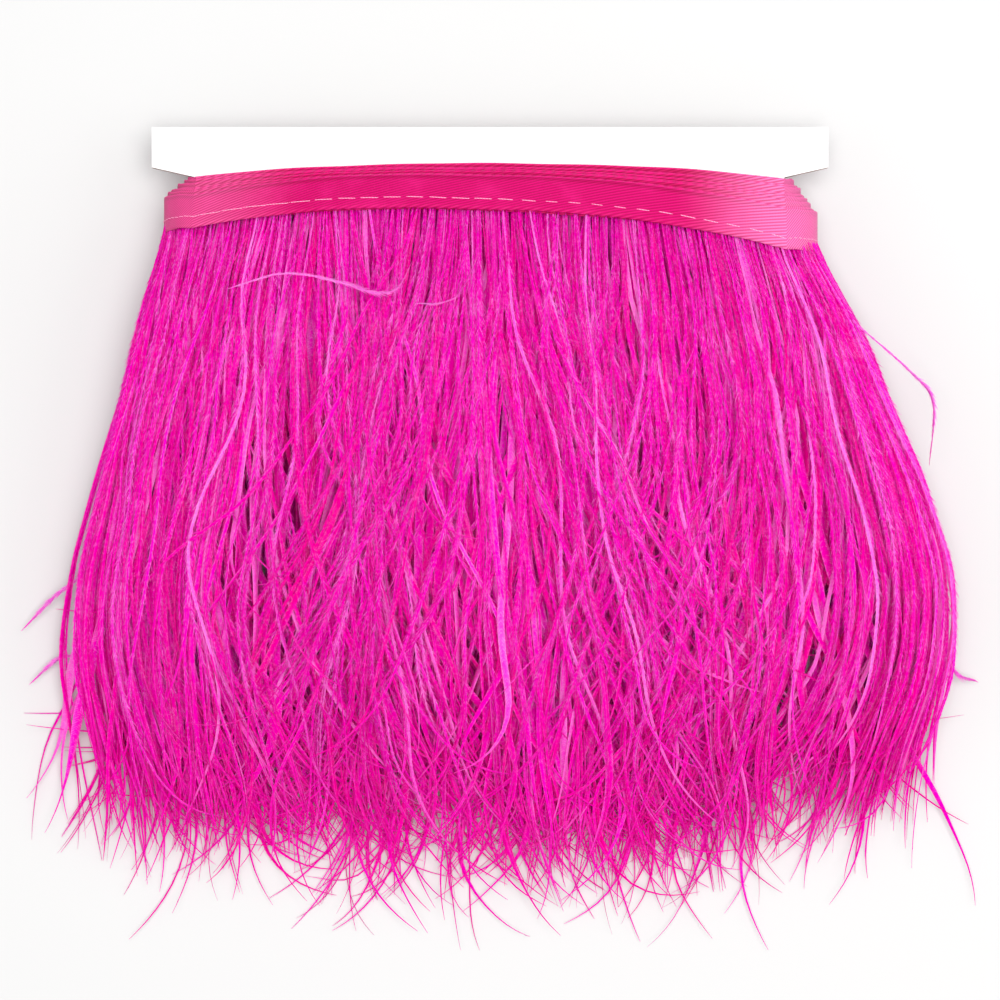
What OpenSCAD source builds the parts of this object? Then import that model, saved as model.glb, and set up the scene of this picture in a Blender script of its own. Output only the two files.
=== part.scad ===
// Feather fringe trim, wound on a notched card and lying on its back.
// X runs along the header, +Y points to the top edge of the card, +Z is up from the table.
// The origin is on the table, in the middle of the whole object's outline.

/* [Card] */
// Width of the card across its two top ears
card_w = 162; // [158:1:166]
// Height of the card from its top edge to its bottom edge
card_h = 58; // [56:1:60]
// Depth of each notch, from the side of a top ear to the bottom of the notch
notch_d = 10.5; // [10:0.5:11]
// How far the lower ears stop short of the top ears, on each side
lower_ear_in = 4; // [4:0.5:6]
// Thickness of the grey board in the middle of the card
core_t = 2.4; // [2:0.1:2.6]
// Thickness of each white paper facing
facing_t = 0.3; // [0.1:0.05:0.3]

/* [Header] */
// Turns of trim wound on the card
turns = 8; // [8]
// Width of the folded ribbon that heads the trim
ribbon_w = 10; // [9:0.5:11]
// Thickness of one ply of the ribbon
ply_t = 0.18; // [0.15:0.01:0.2]
// Room between the two plies, where the barbs are sewn in
slot_t = 0.16; // [0.12:0.01:0.18]
// How far each turn lies outside the one before
pitch = 0.8; // [0.78:0.01:0.82]
// Distance of the stitch line from the open edges of the ribbon
stitch_in = 3.1; // [2.5:0.1:4]
// Thickness and width of the thread where it lies on the ribbon
thread = [0.1, 0.3];
// How far the feathers lift the open edges of the outer turn in front of the card
lift_front = 6; // [5:0.5:6.5]
// How far the open edges of the outer turn stand off the back of the card
lift_back = 3.5; // [3:0.5:4]
// How far the clear tape reaches to each side of the loose end, in steps of the winding
tape_reach = 1; // [1:1:2]

/* [Fringe] */
// Length of the barbs below the ribbon
fringe_l = 165; // [150:1:170]
// Share of that length lost towards the two sides
side_loss = 0.07; // [0:0.01:0.1]

/* [Hidden] */

// Height of the card's middle plane above the table, on the feathers behind it
card_z = 14;
ear_h = 9.6;       // top ear, along its outer side
notch_top = 12;    // the notch is open from here down
notch_end = 38;
lower_ear_top = 43;

// The winding: seg steps make one turn. Steps 0 to bend are the upper half of the
// left end, then the front run, the right end, the back run and the left end again.
seg = 28;
bend = 3;
first_step = -5;
last_step = first_step + turns * seg;
run = seg / 2 - 2 * bend;
end_x = card_w / 2 - notch_d - 0.2;   // middle of the round ends
first_r = core_t / 2 + facing_t + 0.25;
ribbon_t = 2 * ply_t + slot_t;
root_gap = 0.02;

// The two sides of the stitch line. Every face of the header has its edges here, so
// that thread, plies and barb ends stay parallel where the lifted ribbon twists.
stitch_w = [ribbon_w - stitch_in - thread[1] / 2, ribbon_w - stitch_in + thread[1] / 2];

// Where a step lies: c goes from -1 at the left end to 1 at the right end, and
// a is the direction that the ribbon's outer face looks in, seen along the header.
function part_of_turn(i) = i - seg * floor(i / seg);
function c_at(f) =
    f < bend ? -1
    : f <= bend + run ? -1 + 2 * (f - bend) / run
    : f < 3 * bend + run ? 1
    : f <= 3 * bend + 2 * run ? 1 - 2 * (f - 3 * bend - run) / run
    : -1;
function a_at(f) =
    f < bend ? 180 - 90 * f / bend
    : f <= bend + run ? 90
    : f < 3 * bend + run ? 90 - 90 * (f - bend - run) / bend
    : f <= 3 * bend + 2 * run ? -90
    : -90 - 90 * (f - 3 * bend - 2 * run) / bend;
function turn_at(i) = max(0, i / seg);

// Top edge of the ribbon below the top of the card. Each turn slips a little lower
// than the last, most of all at the right end, and the middle of each run arches up.
function left_drop(t) = 12 + 5.0 * t / turns;
function right_drop(t) = 12 + 9.1 * t / turns;
function arch(t) = 3.1 + 3.5 * t / turns;
function drop(t, c) =
    left_drop(t) * (1 - c) / 2 + right_drop(t) * (1 + c) / 2
    - arch(t) * (1 - pow(abs(c), 2.5));

// The lift is greatest at the left end and in front, and turns into the smaller one at
// the back of the card on the way round each end.
function lift_at(t, c, a) =
    let (
        front = lift_front * (1 - 0.7 * pow((c + 1) / 2, 3)),
        back = lift_back * (1 - c * c)
    )
    t / turns * (back + (front - back) * sqrt((1 + sin(a)) / 2));

// A point of the winding at step i, w below the fold and n out from the inner face.
function wound(i, w, n) =
    let (
        f = part_of_turn(i), t = turn_at(i), c = c_at(f), a = a_at(f),
        r = first_r + pitch * i / seg + n,
        up = lift_at(t, c, a),
        down = sqrt(ribbon_w * ribbon_w - up * up) / ribbon_w
    )
    [
        c * end_x + r * cos(a),
        -drop(t, c) - w * down,
        card_z + (r + up * w / ribbon_w) * sin(a)
    ];

// The fringe below the ribbon, by distance below the ribbon's open edges.
LEVELS = [3, 10, 20, 32, 48, 68, 90, 115, 140, 165];
MID_Z = [[0, card_z], [36, card_z], [90, 11], [130, 7], [165, 5]];
FRONT_H = [
    [0, 12], [3, 13.5], [10, 16.5], [20, 20], [40, 23.5],
    [62, 24], [88, 22.5], [115, 17], [140, 10], [165, 4]
];
INNER_H = [[0, 1.8], [42, 1.8], [52, 0.6], [165, 0.3]];
LEFT_W = [[0, 78.3], [22, 86], [49, 93], [68, 98], [85, 102], [110, 104], [165, 99]];
RIGHT_W = [[0, 78.3], [24, 92], [65, 108], [87, 113], [108, 113], [135, 107], [165, 98]];
BUILD_W = [[0, 6], [20, 7.5], [45, 9], [90, 14], [165, 16]];
full_level = LEVELS[len(LEVELS) - 1];
back_flat = 12;    // from this level down the outer back layer lies on the table
// How much lower the front of the bundle is at its sides, as a share of its height
SIDE_CROWN = [[0, 0.1], [40, 0.36], [165, 0.36]];
layer_gap = 0.03;  // share of a layer's room left free on each of its faces

// Layers counted across half of the bundle. The last half turn reaches its outside.
spread = turns - 0.5 + 0.95;

function depth(t, e) = min(1, max(0, (t + e) / spread));
function mid_z(v) = lookup(v, MID_Z);
function back_h(v) = v < back_flat ? lookup(v, [[0, 11.5], [back_flat, card_z]]) : mid_z(v);
function blend(v, d, outer) = lookup(v, INNER_H) * (1 - d) + outer * d;
function half_w(v, c) = c < 0 ? lookup(v, LEFT_W) : lookup(v, RIGHT_W);
function barb_l(c) = fringe_l * (1 - side_loss * c * c);

// A point of the fringe at step i and level v, e across its layer from 0 to 1.
function hanging(i, v, e) =
    let (
        f = part_of_turn(i), t = turn_at(i), c = c_at(f), a = a_at(f),
        d = depth(t, e),
        w_out = half_w(v, c), w_in = w_out - lookup(v, BUILD_W),
        straight = w_in - first_r,
        wide = w_in + (w_out - w_in) * d - straight,
        crown_f = 1 - lookup(v, SIDE_CROWN) * c * c,
        crown_b = 1 - lookup(v, [[0, 0.36], [back_flat, 0]]) * c * c,
        high = blend(v, d, lookup(v, FRONT_H)) * crown_f,
        low = blend(v, d, back_h(v)) * crown_b,
        up = lift_at(t, c, a),
        down = sqrt(ribbon_w * ribbon_w - up * up)
    )
    [
        c * straight + wide * cos(a),
        -drop(t, c) - down - v * barb_l(c) / full_level,
        mid_z(v) + (sin(a) > 0 ? high : low) * sin(a)
    ];

// One ring of points around a layer of fringe: down its outer face and up its inner.
// The barb ends are held between the plies, from the upper side of the stitches down.
root_lo = ply_t + root_gap;
root_hi = ply_t + slot_t - root_gap;
function layer_ring(i) = concat(
    [for (w = [stitch_w[0], stitch_w[1], ribbon_w]) wound(i, w, root_hi)],
    [for (v = LEVELS) hanging(i, v, 1 - layer_gap)],
    [for (k = [len(LEVELS) - 1:-1:0]) hanging(i, LEVELS[k], layer_gap)],
    [for (w = [ribbon_w, stitch_w[1], stitch_w[0]]) wound(i, w, root_lo)]
);
rows = len(LEVELS) + 3;
LAYER_CAP = [for (j = [0:rows - 2]) [j, j + 1, 2 * rows - 2 - j, 2 * rows - 1 - j]];

// The bundle is centred on the origin: how far its sides and tips reach.
function side_reach(t, widths) = max([
    for (v = LEVELS)
        lookup(v, widths) - lookup(v, BUILD_W) * (1 - depth(t, 1 - layer_gap))
]);
left_reach = side_reach(turns - 1, LEFT_W);
right_reach = side_reach(turns - 0.5, RIGHT_W);
tip_reach = max([
    for (i = [(turns - 1) * seg:last_step])
        -hanging(i, full_level, 1)[1]
]);
shift = [(left_reach - right_reach) / 2, tip_reach / 2, 0];

// Joins rings of points, one per step, and closes both ends with the cap's faces.
// Faces on both sides of a wall are split along the same diagonal, so that the wall
// keeps its thickness where it twists.
module sweep(rings, cap) {
    m = len(rings[0]);
    last = (len(rings) - 1) * m;
    sides = [
        for (i = [0:len(rings) - 2], j = [0:m - 1])
            let (
                k = (j + 1) % m, a = i * m + j, b = i * m + k,
                downwards = rings[0][k][1] < rings[0][j][1]
            )
            each downwards
                ? [[a, a + m, b], [b, a + m, b + m]]
                : [[a, a + m, b + m], [a, b + m, b]]
    ];
    start = [for (q = cap) each [[q[0], q[1], q[2]], [q[0], q[2], q[3]]]];
    end = [for (q = start) [last + q[2], last + q[1], last + q[0]]];
    polyhedron([for (r = rings) each r], concat(sides, start, end));
}

// A flat band on the winding, from step i0 to i1, between w0 and w1, n0 and n1.
module band(i0, i1, w0, w1, n0, n1) {
    sweep([
        for (i = [i0:i1])
            [wound(i, w0, n0), wound(i, w0, n1), wound(i, w1, n1), wound(i, w1, n0)]
    ], [[0, 1, 2, 3]]);
}

// Outline of the card, with its top edge on the X axis.
module card_outline() {
    ear = card_w / 2;
    notch = ear - notch_d;
    lower = ear - lower_ear_in;
    right = [
        [ear, 0], [ear, -ear_h], [notch, -notch_top],
        [notch, -notch_end], [lower, -lower_ear_top], [lower, -card_h]
    ];
    left = [for (k = [len(right) - 1:-1:0]) [-right[k][0], right[k][1]]];
    polygon(concat(right, left));
}

module card_layer(z, t) {
    translate(shift + [0, 0, card_z + z])
        linear_extrude(t)
            card_outline();
}

module card_core() {
    color("tan") card_layer(-core_t / 2, core_t);
}

module card_front_facing() {
    color("white") card_layer(core_t / 2, facing_t);
}

module card_back_facing() {
    color("white") card_layer(-core_t / 2 - facing_t, facing_t);
}

// One strip folded lengthwise, with its fold towards the top of the card.
module header_ribbon() {
    across = [stitch_w[0], stitch_w[1], ribbon_w];
    back = [ribbon_w, stitch_w[1], stitch_w[0]];
    section = concat(
        [[0, 0], [0, ribbon_t]],
        [for (w = across) [w, ribbon_t]],
        [for (w = back) [w, ribbon_t - ply_t]],
        [[ply_t, ribbon_t - ply_t], [ply_t, ply_t]],
        [for (w = across) [w, ply_t]],
        [for (w = back) [w, 0]]
    );
    cap = [
        [0, 1, 8, 9],
        [1, 2, 7, 8], [2, 3, 6, 7], [3, 4, 5, 6],
        [0, 9, 10, 15], [10, 11, 14, 15], [11, 12, 13, 14]
    ];
    rings = [for (i = [first_step:last_step]) [for (p = section) wound(i, p[0], p[1])]];
    color("mediumvioletred")
        translate(shift)
            sweep(rings, cap);
}

module stitches(n0, n1) {
    color("pink")
        translate(shift)
            band(first_step, last_step, stitch_w[0], stitch_w[1], n0, n1);
}

module needle_thread() {
    stitches(ribbon_t, ribbon_t + thread[0]);
}

module bobbin_thread() {
    stitches(-thread[0], 0);
}

// Clear tape over the loose end, stepping down from the last turn to the one under it.
module end_tape() {
    tape_t = 0.06;
    w0 = 0;
    w1 = stitch_w[0];
    rings = [
        for (i = [last_step - tape_reach:last_step + tape_reach])
            let (n = i <= last_step ? ribbon_t + 0.01 : ribbon_t - pitch + 0.12)
            [wound(i, w0, n), wound(i, w0, n + tape_t), wound(i, w1, n + tape_t), wound(i, w1, n)]
    ];
    color("ivory")
        translate(shift)
            sweep(rings, [[0, 1, 2, 3]]);
}

module fringe_layer(i0, i1) {
    color("magenta")
        translate(shift)
            sweep([for (i = [i0:i1]) layer_ring(i)], LAYER_CAP);
}

// Barbs of turn k in front of the card. The first turn takes in the strip's start.
module fringe_front(k) {
    start = k == 1 ? first_step : (k - 1) * seg;
    fringe_layer(start, (k - 1) * seg + seg / 2);
}

// Barbs of turn k behind the card. The last turn stops where the strip does.
module fringe_back(k) {
    stop = k == turns ? last_step : k * seg;
    fringe_layer((k - 1) * seg + seg / 2, stop);
}

card_core();
card_front_facing();
card_back_facing();
header_ribbon();
needle_thread();
bobbin_thread();
end_tape();
fringe_front(1);  // fringe_front_1
fringe_front(2);  // fringe_front_2
fringe_front(3);  // fringe_front_3
fringe_front(4);  // fringe_front_4
fringe_front(5);  // fringe_front_5
fringe_front(6);  // fringe_front_6
fringe_front(7);  // fringe_front_7
fringe_front(8);  // fringe_front_8
fringe_back(1);  // fringe_back_1
fringe_back(2);  // fringe_back_2
fringe_back(3);  // fringe_back_3
fringe_back(4);  // fringe_back_4
fringe_back(5);  // fringe_back_5
fringe_back(6);  // fringe_back_6
fringe_back(7);  // fringe_back_7
fringe_back(8);  // fringe_back_8
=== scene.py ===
# %% [markdown]
# # Ostrich feather fringe, wound on a card
#
# This lesson builds a length of feather fringe as a haberdasher stocks it. Dyed ostrich barbs are sewn into a
# folded twill ribbon, and the trim is wound eight times round a notched white card. The measured frame comes
# first: it holds every solid of the design at its real size.

import bpy
import numpy as np
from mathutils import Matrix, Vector


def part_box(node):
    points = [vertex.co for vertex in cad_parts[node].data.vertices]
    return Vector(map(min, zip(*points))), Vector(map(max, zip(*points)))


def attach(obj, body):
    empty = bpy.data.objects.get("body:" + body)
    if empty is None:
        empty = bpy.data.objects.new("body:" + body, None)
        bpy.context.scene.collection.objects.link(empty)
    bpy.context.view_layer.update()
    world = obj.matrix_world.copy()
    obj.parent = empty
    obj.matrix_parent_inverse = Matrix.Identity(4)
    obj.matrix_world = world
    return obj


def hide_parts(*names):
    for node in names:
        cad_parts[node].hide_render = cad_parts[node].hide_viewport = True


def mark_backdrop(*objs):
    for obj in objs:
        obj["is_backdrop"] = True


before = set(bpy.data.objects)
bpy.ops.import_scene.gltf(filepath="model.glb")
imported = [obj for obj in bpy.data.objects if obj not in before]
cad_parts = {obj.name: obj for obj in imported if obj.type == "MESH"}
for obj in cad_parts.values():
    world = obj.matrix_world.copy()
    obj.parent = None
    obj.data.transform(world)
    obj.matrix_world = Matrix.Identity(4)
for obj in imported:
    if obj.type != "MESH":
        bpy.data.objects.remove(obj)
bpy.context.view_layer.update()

# %% [markdown]
# ## Measures
#
# Work goes on in millimetres, because a seamstress would, and turns into metres when a mesh is made. Places
# come from the frame's own boxes. The few sizes below them are the sewing sizes of the trim.

# %% measures
MM = 0.001


def box_mm(node):
    low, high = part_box(node)
    return np.array(low) / MM, np.array(high) / MM


board_low, board_high = box_mm("card_core")
facing_high = box_mm("card_front_facing")[1]
CARD_X = (board_low[0] + board_high[0]) / 2
CARD_TOP = board_high[1]
CARD_Z = (board_low[2] + board_high[2]) / 2
CARD_HALF = facing_high[2] - CARD_Z

TURNS = 8
SEG = 28
BEND = 3
RUN = SEG / 2 - 2 * BEND
FIRST_STEP = -5
LAST_STEP = FIRST_STEP + TURNS * SEG
NOTCH_DEPTH = 10.5
END_X = (board_high[0] - board_low[0]) / 2 - NOTCH_DEPTH - 0.2
FIRST_R = CARD_HALF + 0.25
PITCH = 0.8
RIBBON_W = 10.0
PLY = 0.18
SLOT = 0.16
RIBBON_T = 2 * PLY + SLOT
STITCH_W = RIBBON_W - 3.1
STITCH_PITCH = 3.45
LIFT_FRONT = 6.0
LIFT_BACK = 3.5
SIDE_LOSS = 0.07
print("card middle x %.1f, top %.1f, height %.1f mm" % (CARD_X, CARD_TOP, CARD_Z))

# %% [markdown]
# ## The winding as a formula
#
# The strip runs over the front of the card, round its right notch, over the back and round the left notch,
# and creeps outward all the time. One number, the step, says how far along the strip a point is. From it come
# c, the place between the two ends, and a, the way the outer face looks. numpy works out every point at once.


# %% winding formulas
def ease(x):
    """From 0 to 1, with a soft start and a soft end."""
    x = np.clip(x, 0, 1)
    return x * x * (3 - 2 * x)


BREAKS = [0, BEND, BEND + RUN, 3 * BEND + RUN, 3 * BEND + 2 * RUN, SEG]


def on_turn(step):
    f = np.mod(step, SEG)
    c = np.interp(f, BREAKS, [-1, -1, 1, 1, -1, -1])
    a = np.radians(np.interp(f, BREAKS, [180, 90, 90, -90, -90, -180]))
    return np.maximum(0, step / SEG), c, a


def drop(t, c):
    """How far the ribbon's fold lies below the top edge of the card."""
    left = 12 + 5.0 * t / TURNS
    right = 12 + 9.1 * t / TURNS
    arch = 3.1 + 3.5 * t / TURNS
    return left * (1 - c) / 2 + right * (1 + c) / 2 - arch * (1 - np.abs(c) ** 2.5)


def lift(t, c, a):
    """How far the ribbon's open edge stands off the card, most of all in front at the left."""
    front = LIFT_FRONT * (1 - 0.7 * ((c + 1) / 2) ** 3)
    back = LIFT_BACK * (1 - c * c)
    return t / TURNS * (back + (front - back) * np.sqrt(np.clip((1 + np.sin(a)) / 2, 0, 1)))


def wound(step, w, n):
    """Points of the winding: w below the fold, n out from the inner face of the ribbon."""
    t, c, a = on_turn(step)
    r = FIRST_R + PITCH * step / SEG + n
    up = lift(t, c, a)
    down = np.sqrt(RIBBON_W**2 - up**2) / RIBBON_W
    x = CARD_X + c * END_X + r * np.cos(a)
    y = CARD_TOP - drop(t, c) - w * down
    z = CARD_Z + (r + up * w / RIBBON_W) * np.sin(a)
    return np.stack(np.broadcast_arrays(x, y, z), axis=-1)


fold = wound(np.linspace(FIRST_STEP, LAST_STEP, 4000), 0, RIBBON_T)
STRIP_L = np.linalg.norm(np.diff(fold, axis=0), axis=1).sum()
print("strip length %.0f mm" % STRIP_L)

# %% [markdown]
# ## How the fringe hangs
#
# Below the ribbon the layers spread into a fan that is thick in the middle and thin at the tips. Each profile
# is a handful of points, smoothed so that no barb shows a kink where two stretches meet.


# %% fringe formulas
def profile(points, window=17):
    """A smooth curve through a few (level, value) points, as a function."""
    level = np.arange(-20.0, 200.0)
    value = np.interp(level, *zip(*points))
    kernel = np.hanning(window)
    kernel /= kernel.sum()
    padded = np.pad(value, window // 2, mode="edge")
    smooth = np.convolve(padded, kernel, mode="valid")
    return lambda v: np.interp(v, level, smooth)


mid_z = profile([(0, CARD_Z), (36, CARD_Z), (90, 11), (130, 7), (165, 5)])
front_h = profile([(0, 12), (3, 13.5), (10, 16.5), (20, 20), (40, 23.5), (62, 24), (88, 22.5), (115, 17),
                   (140, 10), (165, 4)])
back_h = profile([(0, 11.5), (12, 14), (36, CARD_Z), (90, 11), (130, 7), (165, 5)])
inner_h = profile([(0, 1.8), (42, 1.8), (52, 0.6), (165, 0.3)])
left_w = profile([(0, 78.3), (22, 86), (49, 93), (68, 98), (85, 102), (110, 104), (165, 99)])
right_w = profile([(0, 78.3), (24, 92), (65, 108), (87, 113), (108, 113), (135, 107), (165, 98)])
build_w = profile([(0, 6), (20, 7.5), (45, 9), (90, 14), (165, 16)])
print("half width at the tips, left %.0f and right %.0f mm" % (left_w(165), right_w(165)))
SPREAD = TURNS + 0.45
front_crown = profile([(0, 0.1), (40, 0.36), (165, 0.36)])
back_crown = profile([(0, 0.36), (12, 0), (165, 0)])


def hanging(step, v, e):
    """Points of the fringe, v below the ribbon's open edge, e from 0 to 1 across its layer."""
    t, c, a = on_turn(step)
    d = np.clip((t + e) / SPREAD, 0, 1)
    w_out = np.where(c < 0, left_w(v), right_w(v))
    w_in = w_out - build_w(v)
    straight = w_in - FIRST_R
    wide = w_in + (w_out - w_in) * d - straight
    high = (inner_h(v) * (1 - d) + front_h(v) * d) * (1 - front_crown(v) * c * c)
    low = (inner_h(v) * (1 - d) + back_h(v) * d) * (1 - back_crown(v) * c * c)
    up = lift(t, c, a)
    x = CARD_X + c * straight + wide * np.cos(a)
    y = CARD_TOP - drop(t, c) - np.sqrt(RIBBON_W**2 - up**2) - v * (1 - SIDE_LOSS * c * c)
    z = mid_z(v) + np.where(np.sin(a) > 0, high, low) * np.sin(a)
    return np.stack(np.broadcast_arrays(x, y, z), axis=-1)


# %% [markdown]
# ## Making a mesh from arrays
#
# Hair-fine work means a great many faces, and Blender takes those fastest as flat arrays. Each mesh also gets
# a map that lays its faces out neatly, and named values on its points that the materials can read, such as
# how far along the strip a point lies.


# %% mesh helper
def make_mesh(name, points, faces, flat_map, values):
    """A mesh from points in mm, equal-sided faces, a map per point and named values per point."""
    mesh = bpy.data.meshes.new(name)
    faces = np.asarray(faces, np.int32)
    sides = faces.shape[1]
    mesh.vertices.add(len(points))
    mesh.vertices.foreach_set("co", (np.asarray(points, np.float32) * MM).ravel())
    mesh.loops.add(faces.size)
    mesh.loops.foreach_set("vertex_index", faces.ravel())
    mesh.polygons.add(len(faces))
    mesh.polygons.foreach_set("loop_start", np.arange(0, faces.size, sides, dtype=np.int32))
    mesh.update(calc_edges=True)
    layer = mesh.uv_layers.new(name="OFBake")
    layer.data.foreach_set("uv", np.asarray(flat_map, np.float32)[faces.ravel()].ravel())
    for key, value in values.items():
        attribute = mesh.attributes.new(key, "FLOAT", "POINT")
        attribute.data.foreach_set("value", np.asarray(value, np.float32))
    mesh.polygons.foreach_set("use_smooth", np.ones(len(faces), bool))
    mesh.validate()
    thing = bpy.data.objects.new(name, mesh)
    bpy.context.scene.collection.objects.link(thing)
    return thing


def settle(thing, finish, slot, *nodes):
    """Gives a finished piece its material and its place in the frame."""
    thing.data.materials.append(finish)
    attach(thing, "root")
    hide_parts(*nodes)
    print(thing.name, len(thing.data.polygons), "faces")
    return thing


# %% [markdown]
# ## Shader sums
#
# Node trees are quicker to read as sums. Wire wraps an output socket, so that 1 - wire or wire * 0.2 adds the
# Math node for it, and Finish holds one material and adds any other node by its type.


# %% shader helper
class Wire:
    def __init__(self, finish, socket):
        self.finish = finish
        self.socket = socket

    def sum(self, operation, *terms):
        return self.finish.node("ShaderNodeMath", {"operation": operation}, dict(enumerate(terms)))

    def __add__(self, other):
        return self.sum("ADD", self, other)

    def __mul__(self, other):
        return self.sum("MULTIPLY", self, other)

    def __sub__(self, other):
        return self.sum("SUBTRACT", self, other)

    def __rsub__(self, other):
        return self.sum("SUBTRACT", other, self)

    __radd__ = __add__
    __rmul__ = __mul__

    def wave(self):
        """From 0 to 1 and back once for each whole number."""
        return self.sum("SINE", self * (2 * np.pi)) * 0.5 + 0.5

    def between(self, low, high):
        """From 0 at low to 1 at high, smoothly."""
        settings = {"interpolation_type": "SMOOTHSTEP"}
        return self.finish.node("ShaderNodeMapRange", settings, {0: self, 1: low, 2: high})


class Finish:
    def __init__(self, name, **constants):
        self.material = bpy.data.materials.new(name)
        self.material.use_nodes = True
        self.tree = self.material.node_tree
        self.shader = self.tree.nodes["Principled BSDF"]
        for socket, value in constants.items():
            self.shader.inputs[socket.replace("_", " ")].default_value = value

    def node(self, kind, settings=(), sockets=(), out=0):
        made = self.tree.nodes.new(kind)
        for key, value in dict(settings).items():
            setattr(made, key, value)
        for key, value in dict(sockets).items():
            self.plug(made.inputs[key], value)
        return Wire(self, made.outputs[out])

    def plug(self, socket, value):
        if isinstance(value, Wire):
            self.tree.links.new(value.socket, socket)
        else:
            socket.default_value = value

    def feed(self, **sockets):
        for key, value in sockets.items():
            self.plug(self.shader.inputs[key.replace("_", " ")], value)

    def value(self, name):
        """A named value that the mesh carries on its points."""
        return self.node("ShaderNodeAttribute", {"attribute_name": name}, out="Fac")

    def place(self):
        return self.node("ShaderNodeTexCoord", out="Object")

    def speckle(self, scale, detail=2.0, stretch=(1, 1, 1), where=None):
        where = where or self.place()
        spot = self.node("ShaderNodeMapping", {}, {"Vector": where, "Scale": stretch})
        return self.node("ShaderNodeTexNoise", {}, {"Vector": spot, "Scale": scale, "Detail": detail})

    def mix(self, share, first, second):
        settings = {"data_type": "RGBA"}
        return self.node("ShaderNodeMix", settings, {0: share, 6: (*first, 1) if isinstance(first, tuple)
                         else first, 7: (*second, 1) if isinstance(second, tuple) else second}, out=2)

    def let_light_through(self, share, tint):
        """Mixes in a share of light that passes through, as in any thin soft thing."""
        glow = self.node("ShaderNodeBsdfTranslucent", {}, {"Color": tint})
        shell = Wire(self, self.shader.outputs[0])
        both = self.node("ShaderNodeMixShader", {}, {0: share, 1: shell, 2: glow})
        self.plug(self.tree.nodes["Material Output"].inputs["Surface"], both)

    def bump(self, height, distance, strength=1.0):
        sockets = {"Height": height, "Distance": distance, "Strength": strength}
        self.feed(Normal=self.node("ShaderNodeBump", {}, sockets))


# %% [markdown]
# ## The card
#
# A trade card is grey board with a smooth white paper on each face. The frame's own solids have the right
# notched outline, so they stay and only get their finishes: coated paper with faint fibres, and board whose
# cut edge shows grey-brown layers.


# %% card
def paper_finish():
    f = Finish("coated_paper", Roughness=0.5, Specular_IOR_Level=0.35)
    fibre = f.speckle(900, 3, (1, 3, 1))
    cloud = f.speckle(25)
    tint = f.mix(cloud, (0.76, 0.76, 0.765), (0.73, 0.73, 0.735))
    f.feed(Base_Color=f.mix(fibre.between(0.5, 0.8) * 0.3, tint, (0.70, 0.70, 0.705)))
    f.feed(Roughness=fibre * 0.15 + 0.42)
    f.bump(fibre, 0.00002)
    return f.material


def board_finish():
    f = Finish("grey_board", Roughness=0.9, Specular_IOR_Level=0.2)
    layers = f.speckle(2600, 3, (0.1, 0.1, 1))
    f.feed(Base_Color=f.mix(layers.between(0.35, 0.7), (0.36, 0.29, 0.22), (0.6, 0.53, 0.44)))
    f.bump(layers, 0.00005)
    return f.material


def refinish(node, finish):
    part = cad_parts[node]
    part.data.materials.clear()
    part.data.materials.append(finish)


paper = paper_finish()
refinish("card_core", board_finish())
refinish("card_front_facing", paper)
refinish("card_back_facing", paper)
print("card finished with", paper.name)

# %% [markdown]
# ## The ribbon
#
# The header is one strip of twill, folded lengthwise like a hairpin. Its section is drawn once, down the
# outer ply, up inside it, round the fold and back, and swept along the winding. The diagonal ribs are far
# too fine to model, so the material raises them from two values on each point: run along the strip, and
# across it.


# %% ribbon
def ribbon_section():
    """(across, out) points round the folded strip, in mm, starting at the fold."""
    outer = [(w, RIBBON_T) for w in np.linspace(0.5, RIBBON_W, 9)]
    outer_in = [(w, RIBBON_T - PLY) for w in (RIBBON_W, 7, 4, 1.2, 0.5)]
    inner_in = [(w, PLY) for w in (0.5, 1.2, 4, 7, RIBBON_W)]
    inner = [(w, 0) for w in np.linspace(RIBBON_W, 0.5, 9)]
    turn = np.radians([-60, -20, 20, 60])
    fold = [(0.35 - 0.35 * np.cos(q), RIBBON_T / 2 * (1 + np.sin(q))) for q in turn]
    return np.array(outer + outer_in + inner_in + inner + fold)


def sweep_faces(stations, points):
    i = np.arange(stations - 1)[:, None] * points
    j = np.arange(points)[None, :]
    k = (j + 1) % points
    return np.stack([i + j, i + j + points, i + k + points, i + k], axis=-1).reshape(-1, 4)


def rows_map(step, across):
    """A flat map with one row for each turn of the strip, and across from 0 to 1 in its row."""
    place = (step - FIRST_STEP) / SEG
    row = np.minimum(np.floor(place), TURNS - 1)
    return np.stack([place - row, (row + 0.05 + 0.9 * across) / TURNS], axis=-1)


def build_ribbon(per_step=6):
    stations = TURNS * SEG * per_step + 1
    step = np.linspace(FIRST_STEP, LAST_STEP, stations)[:, None]
    section = ribbon_section()
    w, n = section[:, 0][None, :], section[:, 1][None, :]
    open_edge = np.clip((w - STITCH_W) / 3, 0, 1)
    flutter = 0.10 * np.sin(step * 5.3) * open_edge + 0.06 * np.sin(step * 11.9 + 1) * open_edge
    points = wound(step, w, n + flutter)
    t, c, _ = on_turn(step)
    points[..., 1] += 0.3 * np.sin(t * 2.5 + 1.0 + 0.8 * c)
    points[..., 1] += 0.08 * np.sin(step * 2.1) + 0.05 * np.sin(step * 4.7)
    run = (step - FIRST_STEP) / (TURNS * SEG) * STRIP_L + 0 * w
    count = len(section)
    around = np.linspace(0, 1, count)[None, :] + 0 * step
    # Near the card's notches the ribbon bends. This value grows towards each bend, and there the ribbon
    # material paints a pale sheen.
    bend_sheen = ease((np.abs(c) - 0.62) / 0.38) * (0.7 + 0.3 * c)
    values = {"run": run.ravel(), "across": (w + 0 * step).ravel(), "bend_sheen": (bend_sheen + 0 * w).ravel(),
              "turn": (t + 0 * w).ravel()}
    flat = rows_map(step + 0 * w, around).reshape(-1, 2)
    return make_mesh("ribbon_strip", points.reshape(-1, 3), sweep_faces(stations, count), flat, values)


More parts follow.
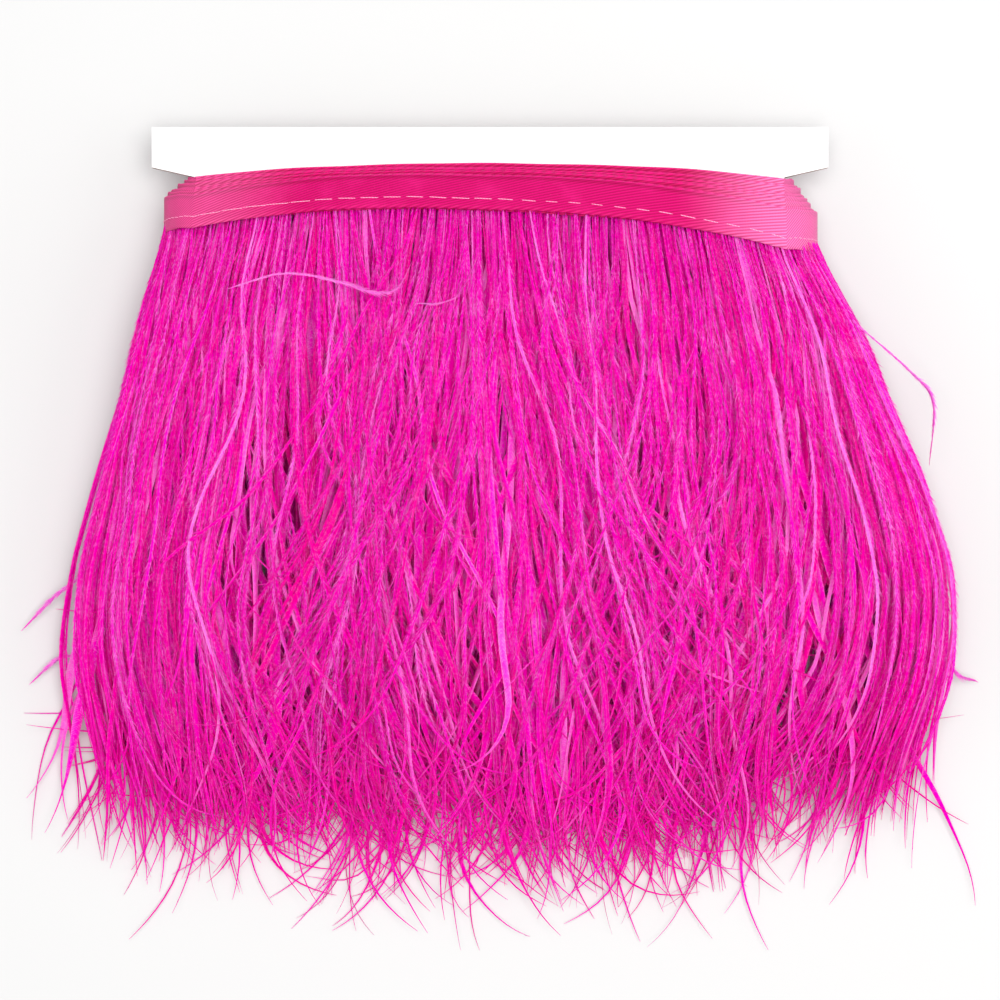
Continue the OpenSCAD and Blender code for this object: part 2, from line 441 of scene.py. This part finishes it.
def twill_finish():
    f = Finish("twill_ribbon", Roughness=0.45, Specular_IOR_Level=0.1)
    run, across = f.value("run"), f.value("across")
    ribs = (across * 1.08 + run * 0.52) * (1 / 0.8)
    rib = ribs.wave()
    weft = (run * (1 / 0.42)).wave()
    worn, bend_sheen = f.speckle(140, 3), f.value("bend_sheen")
    # Every turn but the outermost gets a deeper, darker red: painted shade for the inner turns, which lie
    # deeper in the winding.
    inner = f.mix(rib.between(0.1, 0.7), (0.38, 0.0, 0.066), (0.58, 0.0, 0.112))
    outer = f.mix(rib.between(0.1, 0.7), (0.40, 0.0, 0.078), (0.56, 0.0, 0.13))
    cloth = f.mix(f.value("turn").between(6.6, 6.8), inner, outer)
    cloth = f.mix(worn.between(0.45, 0.8) * 0.3, cloth, (0.76, 0.015, 0.22))
    # A paler pink along the fold edge: a painted highlight where the fold catches the light.
    cloth = f.mix(0.5 - across.between(0.1, 0.5) * 0.5, cloth, (0.82, 0.02, 0.24))
    # A dark red band just below the fold: a painted shadow under each fold edge.
    cloth = f.mix((across.between(0.35, 0.6) - across.between(0.8, 1.8)) * 0.45, cloth, (0.22, 0.0, 0.03))
    # Pale pink near the bends, strongest on the ribs: a painted sheen where the bent satin would catch the
    # light. The bends are also made a little less rough.
    f.feed(Base_Color=f.mix(bend_sheen * (rib * 0.5 + 0.25), cloth, (0.95, 0.24, 0.55)))
    f.feed(Roughness=0.58 - rib * 0.15 - bend_sheen * 0.12)
    f.bump(rib + weft * 0.25, 0.00009, 0.9)
    return f.material


ribbon = settle(build_ribbon(), twill_finish(), "ribbon", "header_ribbon")

# %% [markdown]
# ## The stitches
#
# A lockstitch is two threads, one on each face of the work, that catch each other inside it. Each thread is
# one long tube here that dips out of sight at every needle hole, which leaves the row of separate stitches
# that a sewn line shows.


# %% threads
def build_thread(name, face, out, radius=0.12, rings=8, sides=6):
    stitches = int(STRIP_L / STITCH_PITCH)
    stations = stitches * rings + 1
    place = np.linspace(0, stitches, stations)[:, None]
    step = FIRST_STEP + place / stitches * (LAST_STEP - FIRST_STEP)
    turn = np.linspace(0, 2 * np.pi, sides, endpoint=False)[None, :]
    hole = np.abs(2 * (place - np.floor(place)) - 1) ** 3.5
    centre = face + out * (radius * 0.55 - hole * (radius * 3.4))
    wander = 0.07 * np.sin(place * 1.7) + 0.05 * np.sin(place * 0.61 + 2)
    slant = (place - np.floor(place) - 0.5) * 0.16
    w = STITCH_W + wander + slant + radius * np.cos(turn)
    n = centre + radius * np.sin(turn) * 0.8
    points = wound(step, w, n)
    values = {"run": (place * STITCH_PITCH + 0 * w).ravel(), "across": (turn / (2 * np.pi) + 0 * w).ravel()}
    flat = rows_map(step + 0 * w, turn / (2 * np.pi) * 0.9 + 0 * w).reshape(-1, 2)
    return make_mesh(name, points.reshape(-1, 3), sweep_faces(stations, sides), flat, values)


def thread_finish():
    f = Finish("sewing_thread", Roughness=0.5, Specular_IOR_Level=0.5)
    twist = (f.value("run") * 2.2 + f.value("across")).wave()
    f.feed(Base_Color=f.mix(twist, (0.82, 0.16, 0.38), (0.96, 0.42, 0.62)))
    f.bump(twist, 0.00004)
    return f.material


thread = thread_finish()
needle = settle(build_thread("upper_stitches", RIBBON_T, 1), thread, "thread", "needle_thread")
bobbin = settle(build_thread("lower_stitches", 0, -1), thread, "thread", "bobbin_thread")


# %% [markdown]
# ## The tape on the loose end
#
# Something has to hold the last turn, and a shop uses a bit of clear tape on the back. It follows the ribbon
# and steps down past its end onto the turn below.


# %% tape
def build_tape(reach=1.0, stations=25, columns=7, thick=0.06):
    step = np.linspace(LAST_STEP - reach, LAST_STEP + reach, stations)[:, None]
    w = np.linspace(0.05, STITCH_W - 0.2, columns)[None, :]
    past = 1 / (1 + np.exp(-(step - LAST_STEP - 0.04) * 60))
    n = RIBBON_T + 0.02 - past * (PITCH - 0.1)
    both = [wound(step, w, n + thick), wound(step, w[:, ::-1], n)]
    points = np.concatenate(both, axis=1)
    count = 2 * columns
    values = {"run": (step * 17.5 + 0 * points[..., 0]).ravel()}
    around = np.linspace(0, 0.95, count)[None, :] + 0 * step
    along = (step - step.min()) / (2 * reach) + 0 * around
    flat = np.stack([along, around], axis=-1).reshape(-1, 2)
    faces = sweep_faces(stations, count)
    i = np.arange(columns - 1)
    caps = np.stack([i, i + 1, count - 2 - i, count - 1 - i], axis=-1)
    last = (stations - 1) * count
    faces = np.concatenate([faces, caps, caps[:, ::-1] + last])
    return make_mesh("tape_strip", points.reshape(-1, 3), faces, flat, values)


def tape_finish():
    f = Finish("clear_tape", Roughness=0.12, Alpha=0.35, Specular_IOR_Level=0.6)
    ripple = f.speckle(260, 2, (1, 4, 1))
    f.feed(Base_Color=f.mix(ripple, (0.95, 0.93, 0.88), (0.88, 0.85, 0.78)))
    f.bump(ripple, 0.00006)
    return f.material


tape = settle(build_tape(), tape_finish(), "clear_tape", "end_tape")

# %% [markdown]
# ## One barb
#
# An ostrich barb is a hair-thin shaft with soft barbules along both sides. They point forward along it, and
# nothing hooks them together, which is what makes the plume fluffy. A shaft is a three-sided tube. A barbule
# is one long thin triangle. Thousands of them read as down, and no other way keeps each strand a real mesh.


# %% barb mesh
VANE_W = 0.27
VANE_T = 0.1
BARBULE_L = 2.4
TIP_W = 0.25


def unit(vectors):
    return vectors / (np.linalg.norm(vectors, axis=-1, keepdims=True) + 1e-9)


TIGHTEN = 1.4


def row_places(rows):
    """Where the rows of a barb lie, from 0 to 1, closer together towards its tip."""
    return 1 - (1 - np.linspace(0, 1, rows)) ** TIGHTEN


def along_line(array, s):
    """Reads (barbs, rows, k) arrays at places s (barbs, m), from 0 to 1 along each line."""
    rows = array.shape[1]
    spot = np.clip((1 - (1 - s) ** (1 / TIGHTEN)) * (rows - 1), 0, rows - 1.001)
    low = spot.astype(int)
    share = (spot - low)[..., None]
    index = np.arange(array.shape[0])[:, None]
    return array[index, low] * (1 - share) + array[index, low + 1] * share


def barb_frames(line, rng):
    """The way each barb runs, and its twisted side and top, at every row of its line."""
    ahead = unit(np.gradient(line, axis=1))
    level = unit(np.cross(ahead, [0, 0, 1.0]))
    over = np.cross(level, ahead)
    s = row_places(line.shape[1])[None, :]
    roll = rng.normal(0, 0.35, (len(line), 1)) + rng.normal(0, 0.7, (len(line), 1)) * s
    turn, rise = np.cos(roll)[..., None], np.sin(roll)[..., None]
    return ahead, level * turn + over * rise, over * turn - level * rise


def vane_parts(line, side, top, s, wide):
    """Points, faces and corner normals of a flat three-sided strip round every line, ridge on top."""
    barbs, rows, _ = line.shape
    corner = np.radians([90, 210, 330])
    fine = ease((s - 0.8) / 0.15)
    end = 1 - 0.8 * np.clip((s - 0.93) / 0.07, 0, 1) ** 1.5
    half = (VANE_W * (0.7 + 0.4 * ease(s / 0.3)) * wide[:, None] * (1 - fine) + TIP_W * fine) * end
    points = line[:, :, None] + side[:, :, None] * (np.cos(corner) * half[..., None])[..., None]
    points = points + top[:, :, None] * (np.sin(corner) * VANE_T * end[..., None])[..., None]
    base = (np.arange(barbs)[:, None] * rows + np.arange(rows - 1)[None, :]) * 3
    tilt = np.array([0, -0.6, 0.6])[:, None]
    upper = unit(top[:, :, None] + side[:, :, None] * tilt).reshape(-1, 3)
    under = np.repeat(-top[:, :, None], 3, axis=2).reshape(-1, 3)
    faces, normals = [], []
    for j in range(3):
        k = (j + 1) % 3
        pair = [np.stack([base + j, base + k + 3, base + k], axis=-1),
                np.stack([base + j, base + j + 3, base + k + 3], axis=-1)]
        pair = np.concatenate([q.reshape(-1, 3) for q in pair])
        faces.append(pair)
        normals.append((under if j == 1 else upper)[pair.ravel()])
    return points.reshape(-1, 3), np.concatenate(faces), np.concatenate(normals)


def barbule_parts(line, length, frames, rng, count):
    """Points and top normals of the barbules, three points each, and their places along the barb."""
    ahead, side, top = frames
    place = np.sort(rng.random((len(line), count)) ** 0.85, axis=1) * 0.985 + 0.012
    mm = place * length[:, None]
    hand = np.where(np.arange(count) % 2, 1.0, -1.0)[None, :, None]
    root, forward = along_line(line, place), along_line(ahead, place)
    out, over = along_line(side, place) * hand, along_line(top, place)
    near_tip = np.clip((1.0 - place) / 0.3, 0, 1)
    reach = BARBULE_L * (0.22 + 0.78 * near_tip) * (0.7 + 0.3 * ease(mm / 30))
    reach = reach * rng.uniform(0.5, 1.3, place.shape)
    splay = np.radians((10 + 11 * ease(mm / 40)) * (0.4 + 0.6 * near_tip))
    splay = splay * rng.uniform(0.5, 1.25, place.shape)
    rise = rng.normal(0, 0.3, place.shape) * np.sin(splay)
    way = (forward * np.cos(splay)[..., None] + out * np.sin(splay)[..., None] + over * rise[..., None])
    foot = (0.08 / np.clip(np.sin(splay), 0.15, 1))[..., None]
    tip = root + way * reach[..., None]
    first = np.where(hand > 0, -1.0, 1.0)
    points = np.stack([root + forward * foot * first, root - forward * foot * first, tip], axis=2)
    soft = unit(over + out * 0.6 + np.array([0, 0, 0.4]) + rng.normal(0, 0.3, root.shape))
    face_way = np.cross(points[:, :, 1] - points[:, :, 0], points[:, :, 2] - points[:, :, 0])
    wrong = (face_way * soft).sum(-1) < 0
    points[wrong] = points[wrong][:, [1, 0, 2]]
    normals = np.repeat(soft[:, :, None], 3, axis=2)
    strand = np.stack([place, place, np.clip(place + reach / length[:, None], 0, 1)], axis=2)
    return points.reshape(-1, 3), normals.reshape(-1, 3), strand


def build_barbs(name, line, length, dye, wide, rng, barbules):
    """The mesh of many barbs. line is (barbs, rows, 3) in mm, the next three have one value per barb."""
    barbs, rows, _ = line.shape
    frames = barb_frames(line, rng)
    s = row_places(rows)[None, :] + np.zeros((barbs, 1))
    vane, vane_faces, vane_normals = vane_parts(line, frames[1], frames[2], s, wide)
    web, web_normals, strand = barbule_parts(line, length, frames, rng, barbules)
    web_faces = len(vane) + np.arange(len(web)).reshape(-1, 3)

    number = np.arange(barbs)[:, None, None]
    s3 = np.repeat(s[..., None], 3, axis=2)
    lane = [(number + np.array([0.2, 0.5, 0.8]) + 0 * s3) / barbs,
            (number + np.array([0.3, 0.3, 0.7]) + 0 * strand) / barbs]
    along = np.concatenate([s3.ravel(), strand.ravel()])
    flat = np.stack([along, np.concatenate([part.ravel() for part in lane])], axis=-1)
    mixed = np.repeat(dye, barbules) + rng.normal(0, 0.22, barbs * barbules)
    dyes = np.clip(np.concatenate([np.repeat(dye - 0.1, rows * 3), np.repeat(mixed, 3)]), 0, 1)
    # This value is 1 at the side edges of each shaft and at the barbule tips, where the feather material
    # paints a paler highlight.
    outer = np.concatenate([np.tile([0.0, 1.0, 1.0], barbs * rows),
                            np.tile([0.3, 0.3, 1.0], barbs * barbules)])
    begin = rng.uniform(0, 50, barbs)
    mm = np.concatenate([((s3 * length[:, None, None]) + begin[:, None, None]).ravel(),
                         ((strand * length[:, None, None]) + begin[:, None, None]).ravel()])
    values = {"along": along, "dye": dyes, "web": outer, "run": mm}
    points = np.concatenate([vane, web])
    points[:, 2] = np.maximum(points[:, 2], 0.1)
    thing = make_mesh(name, points, np.concatenate([vane_faces, web_faces]), flat, values)
    thing.data.normals_split_custom_set(np.concatenate([vane_normals, web_normals]))
    return thing


# %% [markdown]
# ## Tufts and groups
#
# Barbs leave the ribbon in small tufts, sewn in evenly along its true length, and a few tufts lean together
# as a group. A helper keeps count of who belongs to whom. It deals out chance values that a whole tuft or
# group shares, and it draws the barbs of a tuft towards their middle line, so that they cling into one
# lock.


# %% tufts
TUFT_MM = 2.6
GROUP_MM = 13.0
EXTRA_AT_ENDS = 4


class Sewing:
    """The barbs sewn in from step first to step last, and the chance values that they share."""

    def __init__(self, rng, first, last, barbs):
        grid = np.linspace(first, last, 400)
        hops = np.linalg.norm(np.diff(wound(grid, RIBBON_W, RIBBON_T), axis=0), axis=1)
        sewn = np.concatenate([[0], np.cumsum(hops + EXTRA_AT_ENDS * (grid[1] - grid[0]))])
        whole = sewn[-1]
        place = np.linspace(0, whole, barbs) + rng.normal(0, 0.8 * whole / barbs, barbs)
        place = np.clip(place, 0.1, whole - 0.1)
        self.rng, self.barbs = rng, barbs
        self.home = np.interp(place, sewn, grid)
        self.tufts, self.groups = (max(3, int(whole / size)) for size in (TUFT_MM, GROUP_MM))
        self.tuft_number = np.minimum((place / whole * self.tufts).astype(int), self.tufts - 1)
        self.group_number = np.minimum((place / whole * self.groups).astype(int), self.groups - 1)
        self.tuft_middle = np.interp((self.tuft_number + 0.5) / self.tufts * whole, sewn, grid)

    def own(self, spread):
        return self.rng.normal(0, spread, self.barbs)

    def tuft(self, spread):
        return self.rng.normal(0, spread, self.tufts)[self.tuft_number]

    def group(self, spread):
        return self.rng.normal(0, spread, self.groups)[self.group_number]

    def cling(self, array, hold):
        """Draws the barbs of a tuft towards their own middle line."""
        total = np.zeros((self.tuft_number.max() + 1, array.shape[1]))
        np.add.at(total, self.tuft_number, array)
        middle = total / np.maximum(np.bincount(self.tuft_number), 1)[:, None]
        return array + (middle[self.tuft_number] - array) * hold


trial = Sewing(np.random.default_rng(0), 0, SEG / 2, 200)
print("200 barbs on a half turn lie in", trial.tufts, "tufts and", trial.groups, "groups")

# %% [markdown]
# ## The heading of every barb
#
# Each barb is drawn by its heading, the way a pen is steered, which keeps its length true however much it
# bends. The heading adds up a slow lean, a growing bend, a swing to and fro, a curl near the tip and, at the
# card's ends, the fan of the whole fringe. Nothing may sway far outward there, or the outline would fray.


# %% headings
LEVEL = np.arange(0.0, 190.0)
LEFT_SLOPE = np.gradient(left_w(LEVEL))
RIGHT_SLOPE = np.gradient(right_w(LEVEL))
WILD = 2.1
CURL_FROM = 0.83
LARGEST_TURN = 100


def flow(seed, x, spread):
    """A slow wave of lean over the width of the trim, in degrees, the same for every layer."""
    rng = np.random.default_rng(seed)
    lean = 0
    for waves in (38.0, 61.0, 104.0):
        lean = lean + rng.normal(0, spread) * np.sin(x * 2 * np.pi / waves + rng.uniform(0, 6.3))
    return lean


def steer(sewing, v, s, c, x, astray, long_ones):
    """The heading of every barb at every row, in radians from straight down."""
    own, tuft, group = sewing.own, sewing.tuft, sewing.group
    wild = np.where(astray, WILD, 1.0)
    lean = (flow(3, x, 2.5) + group(3) + tuft(3) + own(2.5)) * wild
    bend = flow(11, x, 13) + group(13) + tuft(8) + own(6) * wild
    swing = (tuft(9) + own(5))[:, None] * np.sin(v / (11 + tuft(1.5)[:, None]) + tuft(3)[:, None])
    ripple = own(5)[:, None] * np.sin(v / (4.5 + 2 * sewing.rng.random((len(x), 1))) + own(3)[:, None])
    curl = group(16) + tuft(18) + own(5) * wild
    curl = curl + (14 + 26 * long_ones) * np.sign(curl)
    free = ease(v / 40)
    sway = lean[:, None] * (0.6 + 0.4 * free) + bend[:, None] * np.clip(v / 130, 0, None) ** 1.2
    sway = sway + (swing + ripple) * free
    sway = sway + curl[:, None] * np.clip((s - CURL_FROM) / (1 - CURL_FROM), 0, 1) ** 1.1
    outward = np.clip(sway * np.sign(c)[:, None], 0, None) * np.sign(c)[:, None]

    crowd = np.sign(c) * np.abs(c) ** 2.4
    slope = np.where(c < 0, np.interp(v.T, LEVEL, LEFT_SLOPE), np.interp(v.T, LEVEL, RIGHT_SLOPE)).T
    fan = (np.degrees(np.arctan(slope)) * 0.85 - 14 * ease((v - 75) / 45)) * crowd[:, None]
    heading = sway - outward * (0.75 * np.abs(c) ** 4)[:, None] + fan
    return np.radians(np.clip(heading, -LARGEST_TURN, LARGEST_TURN))


print("lean of the whole fringe, degrees:", flow(3, np.array([-60.0, 0.0, 60.0]), 2.5).round(1))

# %% [markdown]
# ## The lines of the barbs
#
# Now the pen moves. Every barb starts inside the ribbon, at the stitches, and goes its length by its heading.
# Its height comes from the layer it lies in, and sinks towards the table at the tips. A few barbs are longer,
# some broke off short, and some went astray and keep to themselves.


# %% barb lines
SIDE_REACH = 121.0
BARB_L = 160
SEWN_IN = 3
LONG_SHARE = 0.13
SHORT_SHARE = 0.07
STRAY_SHARE = 0.09


def keep_inside(x, start_x, room):
    """Narrows the way of any barb that would reach further to its side than it has room."""
    side = np.sign(x[:, -1:] - CARD_X)
    reach = (side * x).max(1, keepdims=True)
    excess = np.maximum(reach - room, 0) / np.maximum(reach - side * start_x, 1)
    return x - (x - start_x) * excess


def barb_lines(rng, first, last, barbs, rows=34):
    """Centrelines (barbs, rows, 3), lengths, dyes and widths of the barbs sewn in from first to last."""
    sewing = Sewing(rng, first, last, barbs)
    own, tuft = sewing.own, sewing.tuft
    long_ones = rng.random(barbs) < LONG_SHARE
    length = np.clip(BARB_L + own(4) + tuft(6) + rng.uniform(8, 32, barbs) * long_ones, 135, 190)
    length = np.where(rng.random(barbs) < SHORT_SHARE, rng.uniform(50, 120, barbs), length)
    _, c, _ = on_turn(sewing.home)
    length = length * (1 - 0.1 * np.abs(c) ** 5)
    s = row_places(rows)[None, :]
    run = s * (length[:, None] * 0.97 + SEWN_IN)
    v = run - SEWN_IN
    step = (sewing.home + (sewing.tuft_middle - sewing.home) * 0.25)[:, None]
    layer = np.clip(0.5 + tuft(0.22) + own(0.2), 0, 1)[:, None]
    start = wound(step, RIBBON_W - SEWN_IN, RIBBON_T / 2)

    astray = rng.random(barbs) < STRAY_SHARE
    heading = steer(sewing, v, s, c, start[:, 0, 0], astray, long_ones)
    hop = np.diff(run, axis=1, prepend=0)
    x = start[..., 0] + np.cumsum(np.sin(heading) * hop, axis=1)
    y = start[..., 1] - np.cumsum(np.cos(heading) * hop, axis=1)
    hold = np.where(long_ones | astray, 0.3, 0.92)[:, None] * ease((v - 8) / 75)
    x, y = sewing.cling(x, hold), sewing.cling(y, hold)
    x = keep_inside(x, start[..., 0], SIDE_REACH - 4 * rng.random((barbs, 1)))

    z = hanging(step, np.maximum(v, 0), layer)[..., 2] * (1 - 0.65 * ease((v - 105) / 55))
    z = z + (own(0.7)[:, None] + 0.8 * np.sin(v / 12 + own(3)[:, None])) * ease(v / 40)
    z = z + np.abs(own(2.0))[:, None] * np.clip((s - 0.8) / 0.2, 0, 1) ** 2
    z = np.maximum(z, 0.45 + 0.5 * rng.random((barbs, 1)))
    z = start[..., 2] + (z - start[..., 2]) * ease((v + 1) / 12)
    dye = np.clip(0.45 + tuft(0.14) + own(0.2) + 0.25 * astray, 0, 1)
    wide = np.clip(1 + own(0.35), 0.35, 1.9) * np.where(astray, 1.7, 1.0)
    return np.stack([x, y, z], axis=-1), length, dye, wide


trial = barb_lines(np.random.default_rng(0), 0, SEG / 2, 200)[1]
print("trial barbs from %.0f to %.0f mm long" % (trial.min(), trial.max()))

# %% [markdown]
# ## Barbs that have come loose
#
# A few barbs always stray. They lie across the others or stand out past the edge, and they tell the eye how
# light the material is. Each is a smooth curve through a few points on top of the outer layer, measured from
# the middle of the card's top edge.


# %% loose barbs
STRAYS = [
    [(-61, -40, 34.5), (-48, -36.5, 35.5), (-35, -38.5, 36), (-27, -41, 36.5), (-21.5, -40, 37.5),
     (-18, -34, 38)],
    [(-17, -43.5, 36), (-12, -43.5, 36.5), (-7, -41, 36.5), (-2.5, -32, 37)],
    [(86, -47, 24), (99.5, -58.5, 22), (105.5, -66, 20), (105, -81, 17)],
    [(-88, -96, 12), (-97, -106, 8), (-106, -113, 5), (-114, -121, 3)],
    [(98, -108, 10), (107, -122, 7), (113, -131, 5), (118.5, -133.5, 3)],
    [(-84, -118, 9), (-97, -126, 6), (-105, -128, 4), (-112, -134, 3)],
]


def smooth_curve(points, rows):
    """A smooth curve through the points, as the rows of one barb."""
    points = np.array(points, float)
    place = row_places(rows) * (len(points) - 1)
    low = np.clip(place.astype(int), 0, len(points) - 2)
    u = (place - low)[:, None]
    padded = np.concatenate([2 * points[:1] - points[1:2], points, 2 * points[-1:] - points[-2:-1]])
    p0, p1, p2, p3 = (padded[low + k] for k in range(4))
    return 0.5 * (2 * p1 + (p2 - p0) * u + (2 * p0 - 5 * p1 + 4 * p2 - p3) * u**2
                  + (3 * p1 - p0 - 3 * p2 + p3) * u**3)


def add_strays(line, length, dye, wide):
    curves = np.array([smooth_curve(points, line.shape[1]) for points in STRAYS])
    curves += np.array([CARD_X, CARD_TOP, 0])
    spans = np.linalg.norm(np.diff(curves, axis=1), axis=-1).sum(1)
    few = len(curves)
    return (np.concatenate([line, curves]), np.concatenate([length, spans]),
            np.concatenate([dye, np.full(few, 1.3)]), np.concatenate([wide, np.full(few, 0.5)]))


# %% [markdown]
# ## How dyed feather takes the light
#
# Each barb takes the dye a little differently, and some barbs are dyed paler. Its downy edge and the hatch of
# its barbules are also painted paler than its shaft, a painted highlight for light caught in and passing
# through the down. The colour is therefore a mix read from values on the points, and part of the light is
# also let through the strand. A feather has next to no gloss of its own, so the shader's mirror part is
# turned off.


# %% feather finish
def feather_finish():
    f = Finish("dyed_ostrich", Roughness=0.7, Specular_IOR_Level=0.0)
    along, dye, web, run = f.value("along"), f.value("dye"), f.value("web"), f.value("run")
    mottle, grain = f.speckle(130, 2), f.speckle(1300, 2)
    hatch = (run * (1 / 0.62) - web * 1.3).wave()
    deep = f.mix(dye, (0.86, 0.0, 0.37), (1.0, 0.0, 0.84))
    # Share of pale pink: partly a painted highlight on the downy edges and along the barbule hatch, and
    # partly the paler dye of some barbs.
    light = web * web * 0.4 + hatch * grain.between(0.4, 0.6) * 0.4 + dye.between(0.55, 0.95) * 0.6
    dye_and_highlight = f.mix(light + mottle.between(0.4, 0.7) * 0.15 - 0.30, deep, (1.0, 0.44, 0.95))
    f.feed(Base_Color=f.mix(along.between(0.7, 1.0) * 0.4, dye_and_highlight, (0.84, 0.0, 0.44)))
    f.feed(Roughness=mottle * 0.2 + 0.6)
    f.bump(hatch, 0.00008, 0.5)
    f.let_light_through(0.42, (1.0, 0.0, 0.62, 1))
    return f.material


feather = feather_finish()

# %% [markdown]
# ## The fringe, turn by turn
#
# Each half turn of the strip is a piece of its own, in front of the card or behind it. The outer ones are
# what the eye meets, so they get the most barbules. The inner ones get wider shafts instead, which close
# the gaps.

# %% fringe pieces
FRONT = {8: (235, 620), 7: (230, 620), 6: (220, 480), 5: (210, 360), 4: (190, 260), 3: (180, 200),
         2: (170, 200), 1: (170, 200)}
BACK = {8: (150, 520), 7: (190, 520), 6: (180, 400), 5: (170, 300), 4: (150, 240), 3: (140, 200),
        2: (140, 200), 1: (140, 200)}
FULLER = {8: 0.7, 7: 0.9, 6: 1.5, 5: 1.9}
FULLEST = 2.3

for k in range(1, TURNS + 1):
    first = FIRST_STEP if k == 1 else (k - 1) * SEG
    middle = (k - 1) * SEG + SEG / 2
    last = LAST_STEP if k == TURNS else k * SEG
    for part, begin, end, (barbs, barbules) in (("front", first, middle, FRONT[k]),
                                                ("back", middle, last, BACK[k])):
        rng = np.random.default_rng(k * 10 + (part == "back"))
        name = f"fringe_{part}_{k}"
        line, length, dye, wide = barb_lines(rng, begin, end, barbs)
        wide = wide * FULLER.get(k, FULLEST)
        if name == f"fringe_front_{TURNS}":
            line, length, dye, wide = add_strays(line, length, dye, wide)
        barbs_piece = build_barbs(f"barbs_{part}_{k}", line, length, dye, wide, rng, barbules)
        settle(barbs_piece, feather, "feather", name)

STRIP_L * MM

# %% [markdown]
# ## Table and light
#
# The trim lies on a plain white table under one broad soft light, with a weaker one on each side, the right a
# little the stronger. The lights are large next to the object, so the shadows stay faint.


# %% table
def build_table(size=1600.0):
    half = size / 2
    points = [(-half, -half, 0), (half, -half, 0), (half, half, 0), (-half, half, 0)]
    table = make_mesh("table", points, [(0, 1, 2, 3)], [(0, 0), (1, 0), (1, 1), (0, 1)], {})
    f = Finish("white_table", Roughness=0.7, Specular_IOR_Level=0.1)
    f.feed(Base_Color=f.mix(f.speckle(6), (0.60, 0.60, 0.598), (0.585, 0.583, 0.58)))
    table.data.materials.append(f.material)
    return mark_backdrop(table)


def add_light(name, place, aim, size, power):
    data = bpy.data.lights.new(name, "AREA")
    data.shape = "SQUARE"
    data.size = size
    data.energy = power
    lamp = bpy.data.objects.new(name, data)
    bpy.context.scene.collection.objects.link(lamp)
    lamp.location = place
    lamp.rotation_euler = (Vector(aim) - Vector(place)).to_track_quat("-Z", "Y").to_euler()
    return lamp


build_table()
add_light("soft_top", (0.10, 0.08, 1.25), (0, 0, 0), 0.8, 17.0)
add_light("soft_right", (0.85, 0.1, 0.55), (0, 0.05, 0), 0.8, 2.6)
add_light("soft_left", (-0.85, 0.1, 0.55), (0, 0.05, 0), 0.8, 1.0)

world = bpy.data.worlds.new("studio")
world.use_nodes = True
world.node_tree.nodes["Background"].inputs["Color"].default_value = (1, 1, 1, 1)
world.node_tree.nodes["Background"].inputs["Strength"].default_value = 0.58
bpy.context.scene.world = world
bpy.context.scene.view_settings.view_transform = "Standard"
bpy.context.scene.cycles.diffuse_bounces = 6

# %% [markdown]
# ## The camera
#
# The camera looks straight down, as for a shop page. A long lens keeps the near and far layers at almost the
# same size, and every distance is counted from the card, so the view follows the frame.

# %% camera
CAMERA_MM = 735.0
VIEW_MM = 240.0
AIM_RIGHT = 2.4
AIM_DOWN = 89.3
camera_data = bpy.data.cameras.new("camera")
camera_data.sensor_width = 36
camera_data.lens = 36 * CAMERA_MM / VIEW_MM
camera = bpy.data.objects.new("camera", camera_data)
bpy.context.scene.collection.objects.link(camera)
camera.location = Vector((CARD_X + AIM_RIGHT, CARD_TOP - AIM_DOWN, CARD_Z + CAMERA_MM)) * MM
bpy.context.scene.camera = camera
print("lens %.0f mm, view %.0f mm wide at the card" % (camera_data.lens, VIEW_MM))
